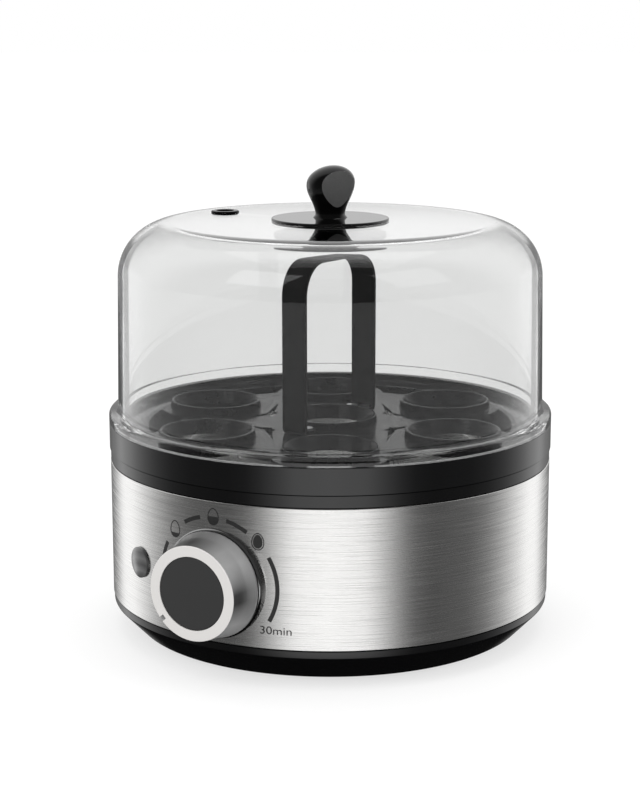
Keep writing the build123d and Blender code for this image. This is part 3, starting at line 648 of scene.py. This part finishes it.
def printMarks():
    marks = []
    inner, outer = scale["radius"] - scale["width"] / 2, scale["radius"] + scale["width"] / 2
    for start, end in scale["arcs"]:
        bm = bmesh.new()
        ends = [bm.verts.new((0, r, 0)) for r in (inner, outer)]
        bm.edges.new(ends)
        bmesh.ops.rotate(bm, verts=ends, cent=(0, 0, 0), matrix=Matrix.Rotation(-radians(start), 3, "Z"))
        bmesh.ops.spin(bm, geom=bm.verts[:] + bm.edges[:], cent=(0, 0, 0), axis=(0, 0, 1),
                       angle=-radians(end - start), steps=max(8, int(end - start)), use_merge=False,
                       use_normal_flip=False, use_duplicate=False)
        marks.append(bm)
    for turn, full, ringed in scale["eggs"]:
        reach = scale["radius"] * scale["eggOut"]
        at = Matrix.Translation((reach * sin(radians(turn)), reach * cos(radians(turn)), 0))
        marks.append(moved(eggOutline(scale["eggWide"], scale["eggTall"], scale["line"]), at))
        gap = scale["ringGap"] if ringed else scale["gap"]
        fill = eggDisc(scale["eggWide"] - gap, scale["eggTall"] - gap)
        if full < 1:
            height = (full - 0.5) * scale["eggTall"]
            bmesh.ops.bisect_plane(fill, geom=fill.verts[:] + fill.edges[:] + fill.faces[:],
                                   plane_co=(0, height, 0), plane_no=(0, 1, 0), clear_outer=True)
        marks.append(moved(fill, at))
    letters = bpy.data.curves.new("letters", "FONT")
    letters.body = scale["text"]
    letters.size = scale["textSize"]
    letters.resolution_u = 8
    holder = bpy.data.objects.new("letters", letters)
    bpy.context.scene.collection.objects.link(holder)
    bpy.context.view_layer.update()
    mesh = bpy.data.meshes.new_from_object(holder.evaluated_get(bpy.context.evaluated_depsgraph_get()))
    text = bmesh.new()
    text.from_mesh(mesh)
    bpy.data.objects.remove(holder)
    bpy.data.curves.remove(letters)
    bpy.data.meshes.remove(mesh)
    bmesh.ops.remove_doubles(text, verts=text.verts[:], dist=0.001)
    stretch = Matrix.Diagonal((scale["textStretch"], 1, 1, 1))
    marks.append(moved(text, Matrix.Translation((*scale["textAt"], 0)) @ stretch))
    whole = joined(marks)
    for face in whole.faces:
        face.normal_update()
    turnedAway = [f for f in whole.faces if f.normal.z < 0]
    bmesh.ops.reverse_faces(whole, faces=turnedAway)
    bmesh.ops.solidify(whole, geom=whole.faces[:], thickness=scale["thick"])
    for v in whole.verts:
        v.co.z += sqrt(bandHigh.x**2 - v.co.x**2) + scale["lift"]
    return moved(whole, dialFrame)


finishPiece("dialScale", printMarks(), finishes["printGrey"], "base")
print("dial and scale done")

# cord gland at the back, its boss grooved so that the cord can bend

gland = {"bore": 3.5, "back": 71.0, "reach": 93.355, "tip": 1.5, "collar": 8.4, "collarBack": 80.6,
         "collarFront": 85.5, "neck": 6.1, "stem": 6.0}
grooves = {"count": 4, "start": 1.4, "keep": 1.2, "wall": 1.55, "taper": 0.22, "deep": 0.5, "wide": 1.0,
           "slope": 0.2, "flare": 0.1, "edge": 0.12}
points = [(gland["bore"], gland["back"]), (gland["bore"], gland["reach"], 0.3),
          (gland["bore"] + gland["tip"], gland["reach"], 0.5)]
step = (gland["reach"] - gland["collarFront"] - grooves["keep"]) / grooves["count"]
for i in range(grooves["count"]):
    at = gland["reach"] - grooves["start"] - i * step
    out = gland["bore"] + grooves["wall"] + grooves["taper"] * i
    trough = out - grooves["deep"]
    points += [
        (out, at, grooves["edge"]), (trough, at - grooves["slope"], grooves["edge"]),
        (trough, at - grooves["wide"] + grooves["slope"], grooves["edge"]),
        (out + grooves["flare"], at - grooves["wide"], grooves["edge"]),
    ]
points += [(gland["neck"], gland["collarFront"], 0.2), (gland["collar"], gland["collarFront"], 0.8),
           (gland["collar"], gland["collarBack"]), (gland["stem"], gland["collarBack"]),
           (gland["stem"], gland["back"])]
finishPiece("cordGland", moved(turned(points, 96, True), glandFrame), finishes["housingBlack"], "base",
            ["cord_gland"])

# egg tray: rim, seats and deck; bite sinks the rim into the lid's flange so that no light shows between

tray = {"inner": 71.0, "outer": 81.0, "lip": 80.5, "under": 75.0, "deck": 77.0, "bite": 0.12}
seats = {"ring": 52.0, "inner": 14.0, "base": 18.1, "foot": 17.85, "outer": 17.5, "top": 80.2, "lip": 16.5,
         "cup": 14.9, "cupAt": 76.8}
seamHigh, seamInner, rimTop = rimLow.z + seam["tall"], rimHigh.x - seam["deep"], rimHigh.z + tray["bite"]
points = [
    (tray["inner"], tray["under"]), (tray["outer"], tray["under"]), (tray["outer"], rimLow.z),
    (seamInner, rimLow.z), (seamInner, seamHigh), (rimHigh.x, seamHigh, seam["edge"]),
    (rimHigh.x, rimTop, 0.28), (tray["lip"], rimTop, 0.3), (tray["lip"], tray["deck"], 0.5),
    (tray["inner"], tray["deck"]),
]
finishPiece("trayRim", turned(points, 256, True), finishes["trayBlack"], "tray", ["tray_rim"])
points = [
    (seats["inner"], tray["under"]), (seats["base"], tray["under"]), (seats["base"], tray["deck"]),
    (seats["foot"], tray["deck"], 0.3), (seats["outer"], seats["top"], 0.4),
    (seats["lip"], seats["top"], 0.35), (seats["cup"], seats["cupAt"], 0.6),
]
places = [(0, 0, 0)] + [(*around(seats["ring"], 60 * i), 0) for i in range(6)]
finishPiece("eggSeats", copies(turned(points, 96, True), places), finishes["seatBlack"], "tray",
            ["egg_seats"])

# tray handle: a flat strip bent into an arch, with its feet turned inward

handle = {"halfSpan": 26.0, "foot": 7.0, "width": 10.0, "thick": 1.5, "bend": 13.25, "footBend": 1.6,
          "turn": 60.0, "edge": 0.28}
low, high = handleLow.z + handle["thick"] / 2, handleHigh.z - handle["thick"] / 2
toe = handle["halfSpan"] - handle["thick"] / 2 - handle["foot"]
strip = bmesh.new()
addLine(strip, [
    (-toe, low), (-handle["halfSpan"], low, handle["footBend"]), (-handle["halfSpan"], high, handle["bend"]),
    (handle["halfSpan"], high, handle["bend"]), (handle["halfSpan"], low, handle["footBend"]), (toe, low),
])
bmesh.ops.translate(strip, vec=(0, -handle["width"] / 2, 0), verts=strip.verts[:])
grown = bmesh.ops.extrude_edge_only(strip, edges=strip.edges[:])["geom"]
farSide = [g for g in grown if isinstance(g, bmesh.types.BMVert)]
bmesh.ops.translate(strip, vec=(0, handle["width"], 0), verts=farSide)
bmesh.ops.recalc_face_normals(strip, faces=strip.faces[:])
strip = moved(strip, Matrix.Rotation(radians(handle["turn"]), 4, "Z"))
thicken = [
    ("SOLIDIFY", {"thickness": handle["thick"] * mm, "offset": 0.0, "use_even_offset": True}),
    ("BEVEL", {"width": handle["edge"] * mm, "segments": 3, "limit_method": "ANGLE",
               "angle_limit": radians(50)}),
]
finishPiece("trayHandle", strip, finishes["handleBlack"], "tray", ["tray_handle"], crisp=20,
            modifiers=thicken)
print("tray and handle done")

# lid: clear dome, its vent, the disc and the knob

# the last three give the heights, in millimetres, between which the painted shade at the wall's edge comes and
# goes
dome = {"seat": 79.8, "radius": 80.05, "draft": 0.018, "wall": 2.0, "corner": 20.0, "flangeTop": 83.6,
        "spigot": 77.3, "hole": 4.45, "paintedCornerShade": 0.6, "edgeFade": (146.5, 152.5),
        "cornerRise": (137.0, 150.0), "cornerFade": (153.5, 154.2)}


def domeRadius(height):
    return dome["radius"] - dome["draft"] * (height - dome["seat"])


def domeFinish():
    # clear plastic: faint grey, with shade painted into its colour where the wall is seen edge on and round the
    # top corner
    finish = Finish("lidClear")
    scuff = finish.noise(90.0, 4)
    height = finish.axes()[2] / mm
    turnedAway = finish.node("ShaderNodeLayerWeight", None, {"Blend": 0.5}, 1)
    edge = finish.ease(turnedAway, 0.77, 0.795) * finish.ease(height, *dome["edgeFade"], 1.0, 0.0)
    corner = finish.ease(turnedAway, 0.5, 0.85) * finish.ease(height, *dome["cornerRise"])
    corner = corner * finish.ease(height, *dome["cornerFade"], 1.0, 0.0)
    edge = edge.maths("MAXIMUM", edge, corner * dome["paintedCornerShade"])
    values = {
        "Base Color": finish.blend(edge, rgb(0.86, 0.863, 0.86), rgb(0.03, 0.03, 0.031)),
        "Roughness": 0.008 + scuff * 0.015,
        "IOR": 1.12,
        "Transmission Weight": 1.0,
        "Coat Weight": 1.0 - edge * 0.92,
        "Coat Roughness": 0.015,
        "Coat IOR": 1.5,
    }
    clear = finish.node("ShaderNodeBsdfPrincipled", None, values)
    shade = finish.node("ShaderNodeBsdfTransparent", None, {0: grey(0.95)})
    path = finish.node("ShaderNodeLightPath", None, None, "Is Shadow Ray")
    return finish.close(finish.node("ShaderNodeMixShader", None, {0: path, 1: clear, 2: shade}))


under = domeHigh.z - dome["wall"]
points = [
    (0, under), (domeRadius(under) - dome["wall"], under, dome["corner"] - dome["wall"]),
    (domeRadius(dome["spigot"]) - dome["wall"], dome["spigot"], 0.4),
    (domeRadius(dome["spigot"]), dome["spigot"], 0.4), (domeRadius(dome["seat"]), dome["seat"]),
    (domeHigh.x, dome["seat"], 0.3), (domeHigh.x, dome["flangeTop"], 1.2),
    (domeRadius(dome["flangeTop"]), dome["flangeTop"], 1.0),
    (domeRadius(domeHigh.z), domeHigh.z, dome["corner"]), (0, domeHigh.z),
]
ventMiddle = (ventLow + ventHigh) / 2
hole = rod(dome["hole"], under - 1, domeHigh.z + 1, (ventMiddle.x, ventMiddle.y), 64)
finishPiece("lidDome", drill(turned(points, 320), hole), domeFinish(), "lid", ["lid_dome"])

grommet = {"bore": 3.3, "barb": 5.1, "neck": 4.4, "head": 5.4}
points = [
    (grommet["bore"], ventLow.z), (grommet["barb"], ventLow.z, 0.3), (grommet["barb"], under),
    (grommet["neck"], under), (grommet["neck"], domeHigh.z), (grommet["head"], domeHigh.z),
    (grommet["head"], ventHigh.z, 0.5), (grommet["bore"], ventHigh.z, 0.3),
]
drawing = moved(turned(points, 96, True), Matrix.Translation((ventMiddle.x, ventMiddle.y, 0)))
finishPiece("ventGrommet", drawing, finishes["trimBlack"], "lid", ["vent_grommet"])

points = [(0, discLow.z), (discHigh.x, discLow.z), (discHigh.x, discHigh.z, 0.5), (0, discHigh.z)]
finishPiece("lidDisc", turned(points, 192), finishes["knobBlack"], "lid", ["lid_disc"])

basePlate = {"radius": 21.0, "under": 146.6, "top": 148.2, "boss": 10.0, "bossTop": 151.3}
points = [
    (0, basePlate["under"]), (basePlate["radius"], basePlate["under"], 0.5),
    (basePlate["radius"], basePlate["top"], 0.2), (basePlate["boss"], basePlate["top"], 1.5),
    (basePlate["boss"], basePlate["bossTop"]), (0, basePlate["bossTop"]),
]
finishPiece("knobBasePlate", turned(points, 160), finishes["trimBlack"], "lid",
            ["knob_base_plate"])

# side holds (radius, height above the disc) up to the knob's widest place
knob = {"radius": 8.95, "crown": 6.7, "flat": 6.25, "turn": 26.0, "edge": 0.3, "lean": 0.012,
        "leanFrom": 164.0,
        "side": [(6.4, 0.0), (5.55, 0.95), (5.5, 1.8), (5.8, 3.1), (6.2, 4.3), (6.7, 5.5), (7.3, 6.7),
                 (7.85, 7.9), (8.35, 9.2), (8.7, 10.4), (8.9, 11.5)]}


def knobFinish():
    # gloss black, with the two flats left matt grey
    finish = Finish("knobBlackFlats")
    x, y = finish.axes()[:2]
    across = x * sin(radians(knob["turn"])) - y * cos(radians(knob["turn"]))
    flat = across.maths("ABSOLUTE", across) > (knob["flat"] - 0.06) * mm
    fine = finish.noise(1500.0, 3)
    broad = finish.noise(60.0, 3)
    gloss = finish.blend(broad, grey(0.0012), grey(0.0024))
    matt = finish.blend(fine, grey(0.06), grey(0.08))
    values = {
        "Base Color": finish.blend(flat, gloss, matt),
        "Roughness": finish.ease(flat, 0.0, 1.0, 0.07, 0.6) + (broad - 0.5) * 0.02,
        "Normal": finish.bump(fine, 0.000002, 0.5),
        "IOR": 1.35,
    }
    return finish.close(finish.node("ShaderNodeBsdfPrincipled", None, values))


bm = bmesh.new()
middle = knobHigh.z - knob["crown"]
addLine(bm, [(0, discHigh.z)] + [(r, discHigh.z + h) for r, h in knob["side"]] + [(knob["radius"], middle)])
start = min(bm.verts, key=lambda v: (v.co - Vector((knob["radius"], 0, middle))).length)
bmesh.ops.spin(bm, geom=[start], cent=(0, 0, middle), axis=(0, -1, 0), angle=pi / 2, steps=32,
               use_merge=False, use_normal_flip=False, use_duplicate=False)
for v in bm.verts:
    if v.co.z > middle:
        v.co.z = middle + (v.co.z - middle) * knob["crown"] / knob["radius"]
spinUp(bm, 144)
for v in bm.verts:
    v.co.x += knob["lean"] * max(0.0, v.co.z - knob["leanFrom"]) ** 2
for side in (1, -1):
    normal = Vector((side * sin(radians(knob["turn"])), -side * cos(radians(knob["turn"])), 0))
    cut = bmesh.ops.bisect_plane(bm, geom=bm.verts[:] + bm.edges[:] + bm.faces[:],
                                 plane_co=normal * knob["flat"], plane_no=normal, clear_outer=True)
    rim = [g for g in cut["geom_cut"] if isinstance(g, bmesh.types.BMEdge)]
    bmesh.ops.contextual_create(bm, geom=rim)
flats = [f for f in bm.faces if len(f.verts) > 20 and abs(f.normal.z) < 0.1]  # upright, many corners
rims = [e for f in flats for e in f.edges]
bmesh.ops.bevel(bm, geom=rims, offset=knob["edge"], segments=3, profile=0.5, affect="EDGES", material=-1,
                clamp_overlap=True)
bmesh.ops.recalc_face_normals(bm, faces=bm.faces[:])
finishPiece("lidKnob", bm, knobFinish(), "lid", ["lid_knob"], crisp=40)
print("lid done")

# finishes of the parts that keep their own shape

kept = {
    "housingBlack": ["base_housing", "gland_nut", "lens_retainer"],
    "seatBlack": ["tray_deck"],
    "boltZinc": ["plate_studs", "plate_nuts", "cover_screws", "timer_screws", "knob_screws", "handle_rivets",
                 "thermostat_bracket"],
    "caseZinc": ["timer_body", "timer_bell"],
    "shaftSteel": ["timer_shaft"],
    "elementDull": ["heating_element"],
    "partBlack": ["thermostat"],
    "ceramicPale": ["thermal_fuse", "indicator_lamp"],
    "partCream": ["terminal_block"],
    "wireSleeve": ["internal_wiring"],
    "hubBlack": ["dial_core"],
    "sealGrey": ["plate_gasket", "knob_seal"],
}
for name, members in kept.items():
    for member in members:
        thing = nodes[member]
        finish = finishes[name].material
        if not thing.material_slots:
            thing.data.materials.append(finish)
        for slot in thing.material_slots:
            slot.material = finish
print("kept parts finished")

# floor, light and camera

ground = {"half": 6.0, "dark": grey(0.33), "pale": grey(0.35), "glow": 0.67}
drawing = bmesh.new()
bmesh.ops.create_grid(drawing, x_segments=1, y_segments=1, size=ground["half"])
mesh = bpy.data.meshes.new("floor")
drawing.to_mesh(mesh)
drawing.free()
floor = bpy.data.objects.new("floor", mesh)
bpy.context.scene.collection.objects.link(floor)
floorFinish = Finish("floorPale")
paper = floorFinish.noise(300.0, 3)
floorFinish.close(floorFinish.node("ShaderNodeBsdfPrincipled", None, {
    "Base Color": floorFinish.blend(paper, ground["dark"], ground["pale"]), "Roughness": 0.9,
    "Specular IOR Level": 0.0, "Emission Color": grey(1.0), "Emission Strength": ground["glow"]}))
mesh.materials.append(floorFinish.material)
floor.visible_glossy = False

# the room's light: even white, except that gloss sees a pale ceiling that is dark in front, darkness
# below, and between them tones by azimuth, from the front at 0 to the back at 1: strips below levelBand
# and level above it
# each band is two sines of the elevation between which one pattern gives way to the next
room = {
    "strength": 1.5, "ceiling": grey(0.67), "frontCeiling": grey(0.07), "below": grey(0.006),
    "levelBand": (-0.154, -0.145), "ceilingBand": (0.0, 0.14), "belowBand": (-0.54, -0.37),
    "frontEnds": (0.42, 0.66),
    "strips": [(0.0, 1.1), (0.1, 0.98), (0.155, 0.55), (0.2, 0.25), (0.24, 0.1), (0.3, 0.06), (0.42, 0.08),
               (0.49, 0.153), (0.555, 0.32), (0.62, 0.57), (0.69, 0.83), (0.76, 0.82), (0.82, 0.37),
               (0.89, 0.15), (1.0, 0.15)],
    "level": [(0.0, 0.05), (0.22, 0.05), (0.29, 0.07), (0.42, 0.093), (0.49, 0.153), (0.555, 0.32),
              (0.62, 0.57), (0.69, 0.83), (0.76, 0.82), (0.82, 0.4), (0.89, 0.25), (1.0, 0.25)],
}
world = bpy.data.worlds.new("room")
bpy.context.scene.world = world
world.use_nodes = True
sky = Finish("sky", world.node_tree)
direction = sky.node("ShaderNodeTexCoord", output="Generated")
split = sky.node("ShaderNodeSeparateXYZ", None, {0: direction})
dx, dy, dz = [Wire(sky, split.socket.node.outputs[i]) for i in range(3)]
azimuth = dx.maths("ABSOLUTE", dx.maths("ARCTAN2", dx, 0 - dy)) / pi
lowStrips, levelStrips = sky.ramp(azimuth, room["strips"]), sky.ramp(azimuth, room["level"])
strips = sky.blend(sky.ease(dz, *room["levelBand"]), lowStrips, levelStrips)
ceiling = sky.blend(sky.ease(azimuth, *room["frontEnds"]), room["frontCeiling"], room["ceiling"])
strips = sky.blend(sky.ease(dz, *room["ceilingBand"]), strips, ceiling)
strips = sky.blend(sky.ease(dz, *room["belowBand"]), room["below"], strips)
gloss = sky.node("ShaderNodeLightPath", None, None, "Glossy Depth") > 0.5
background = sky.node("ShaderNodeBackground", None, {
    "Color": sky.blend(gloss, grey(1.0), strips), "Strength": gloss * (room["strength"] - 1) + 1.0})
outWorld = sky.tree.nodes.new("ShaderNodeOutputWorld")
sky.tree.links.new(background.socket, outWorld.inputs["Surface"])

lampAim = Vector((0, 0, 0.09))
lamps = {
    "keyLeft": {"at": (-0.9, -0.9, 1.3), "size": 0.9, "power": 5.0},
    "keyRight": {"at": (1.0, -0.7, 1.2), "size": 0.9, "power": 3.0},
    "topSoft": {"at": (0.0, 0.25, 1.5), "size": 1.2, "power": 4.0},
}
for name, lamp in lamps.items():
    light = bpy.data.lights.new(name, "AREA")
    light.shape = "SQUARE"
    light.size = lamp["size"]
    light.energy = lamp["power"]
    holder = bpy.data.objects.new(name, light)
    holder.location = lamp["at"]
    holder.visible_glossy = False
    holder.rotation_euler = (lampAim - Vector(lamp["at"])).to_track_quat("-Z", "Y").to_euler()
    bpy.context.scene.collection.objects.link(holder)

lensView = {"away": 0.7343, "height": 0.2418, "pitch": 11.99, "focal": 89.1, "sensor": 36, "shift": -0.01275,
            "near": 0.01, "far": 50}
camera = bpy.data.cameras.new("camera")
camera.lens = lensView["focal"]
camera.sensor_width = lensView["sensor"]
camera.shift_x = lensView["shift"]
camera.clip_start = lensView["near"]
camera.clip_end = lensView["far"]
eye = bpy.data.objects.new("camera", camera)
eye.location = (0, -lensView["away"], lensView["height"])
eye.rotation_euler = (radians(90 - lensView["pitch"]), 0, 0)
bpy.context.scene.collection.objects.link(eye)
bpy.context.scene.camera = eye
bpy.context.scene.view_settings.view_transform = "Standard"
print("room and camera done")
